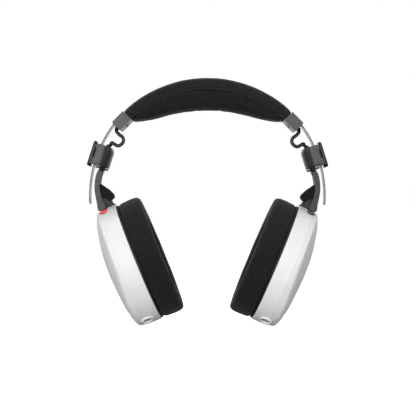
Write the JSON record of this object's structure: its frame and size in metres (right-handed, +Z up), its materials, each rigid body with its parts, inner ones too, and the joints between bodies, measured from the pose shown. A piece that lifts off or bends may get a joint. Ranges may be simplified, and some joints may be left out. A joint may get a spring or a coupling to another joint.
{
  "type": "over-ear headset",
  "caption": "Over-ear headset with a sprung padded headband, lockable height sliders, swivelling forks, tilting white oval ear cups and cushioned ear pads.",
  "frame": {"origin": "the point where the underside of the headband cushion rests on the crown of the head", "axes": "+Z up from the crown, -Y to the wearer's front, -X to the wearer's right ear"},
  "size_m": [0.193, 0.088, 0.1979],
  "materials": {
    "steel_strip": "spring steel strip, satin faces and dark edges",
    "cover_fabric": "near-black microsuede, fine nap",
    "cushion_fabric": "near-black microsuede over foam, seamed edges",
    "grey_metal": "satin grey casting with dark bevels",
    "dark_metal": "semi-gloss black",
    "yoke_paint": "satin black coat",
    "black_plastic": "fine moulded grain",
    "white_shell": "satin white moulding",
    "red_clip": "satin red moulding",
    "grey_clip": "satin dark grey moulding",
    "bright_steel": "plain turned steel",
    "bronze": "sintered bronze",
    "brake_rubber": "matt friction rubber",
    "lead_rubber": "semi-gloss cable jacket",
    "socket_grey": "satin grey bezel",
    "film": "thin translucent driver film",
    "foam": "open-cell foam",
    "board": "green circuit board"
  },
  "bodies": {
    "headband": {"spring_band": "steel_strip", "headband_cover": "cover_fabric", "headband_cushion": "cushion_fabric", "end_cap_right": "grey_metal", "end_cap_screw_right": "bright_steel", "short_lead_right": "lead_rubber", "end_cap_left": "grey_metal", "end_cap_screw_left": "bright_steel", "short_lead_left": "lead_rubber"},
    "slider_right": {"slider_housing_right": "grey_metal", "slider_end_plate_right": "grey_metal", "brake_pad_right": "brake_rubber", "swivel_bush_right": "bronze"},
    "lock_lever_right": {"lock_lever_right": "dark_metal", "lock_screw_right": "bright_steel"},
    "yoke_right": {"yoke_right": "yoke_paint", "pivot_pin_right": "bright_steel", "id_clip_front_right": "red_clip", "id_clip_rear_right": "red_clip"},
    "cup_right": {"cup_housing_right": "white_shell", "outer_cover_right": "white_shell", "hinge_lug_right": "black_plastic", "baffle_right": "black_plastic", "baffle_screw_top_right": "bright_steel", "baffle_screw_bottom_right": "bright_steel", "driver_frame_right": "black_plastic", "diaphragm_right": "film", "driver_magnet_right": "bright_steel", "damping_foam_right": "foam", "terminal_board_right": "board", "cushion_ring_right": "black_plastic", "driver_grille_right": "black_plastic", "ear_cushion_right": "cushion_fabric", "audio_socket_right": "socket_grey"},
    "slider_left": {"slider_housing_left": "grey_metal", "slider_end_plate_left": "grey_metal", "brake_pad_left": "brake_rubber", "swivel_bush_left": "bronze"},
    "lock_lever_left": {"lock_lever_left": "dark_metal", "lock_screw_left": "bright_steel"},
    "yoke_left": {"yoke_left": "yoke_paint", "pivot_pin_left": "bright_steel", "id_clip_front_left": "grey_clip", "id_clip_rear_left": "grey_clip"},
    "cup_left": {"cup_housing_left": "white_shell", "outer_cover_left": "white_shell", "hinge_lug_left": "black_plastic", "baffle_left": "black_plastic", "baffle_screw_top_left": "bright_steel", "baffle_screw_bottom_left": "bright_steel", "driver_frame_left": "black_plastic", "diaphragm_left": "film", "driver_magnet_left": "bright_steel", "damping_foam_left": "foam", "terminal_board_left": "board", "cushion_ring_left": "black_plastic", "driver_grille_left": "black_plastic", "ear_cushion_left": "cushion_fabric", "audio_socket_left": "socket_grey"}
  },
  "joints": [
    {"name": "height_right", "type": "hinge", "parent": "headband", "child": "slider_right", "pos_m": [0, 0, -0.068], "axis": [0, -1, 0], "range_deg": [-7.4, 7.4], "deforming": ["short_lead_right"]},
    {"name": "lock_right", "type": "hinge", "parent": "slider_right", "child": "lock_lever_right", "pos_m": [-0.0904, 0, -0.03382], "axis": [-0.9537, 0, 0.3007], "range_deg": [0, 90]},
    {"name": "swivel_right", "type": "hinge", "parent": "slider_right", "child": "yoke_right", "pos_m": [-0.08136, 0, -0.03772], "axis": [-0.3007, 0, -0.9537], "range_deg": [-8, 8]},
    {"name": "tilt_right", "type": "hinge", "parent": "yoke_right", "child": "cup_right", "pos_m": [-0.08403, 0, -0.07806], "axis": [0, 1, 0], "range_deg": [-8, 8]},
    {"name": "height_left", "type": "hinge", "parent": "headband", "child": "slider_left", "pos_m": [0, 0, -0.068], "axis": [0, 1, 0], "range_deg": [-7.4, 7.4], "deforming": ["short_lead_left"]},
    {"name": "lock_left", "type": "hinge", "parent": "slider_left", "child": "lock_lever_left", "pos_m": [0.0904, 0, -0.03382], "axis": [0.9537, 0, 0.3007], "range_deg": [0, 90]},
    {"name": "swivel_left", "type": "hinge", "parent": "slider_left", "child": "yoke_left", "pos_m": [0.08136, 0, -0.03772], "axis": [0.3007, 0, -0.9537], "range_deg": [-8, 8]},
    {"name": "tilt_left", "type": "hinge", "parent": "yoke_left", "child": "cup_left", "pos_m": [0.08403, 0, -0.07806], "axis": [0, -1, 0], "range_deg": [-8, 8]}
  ]
}
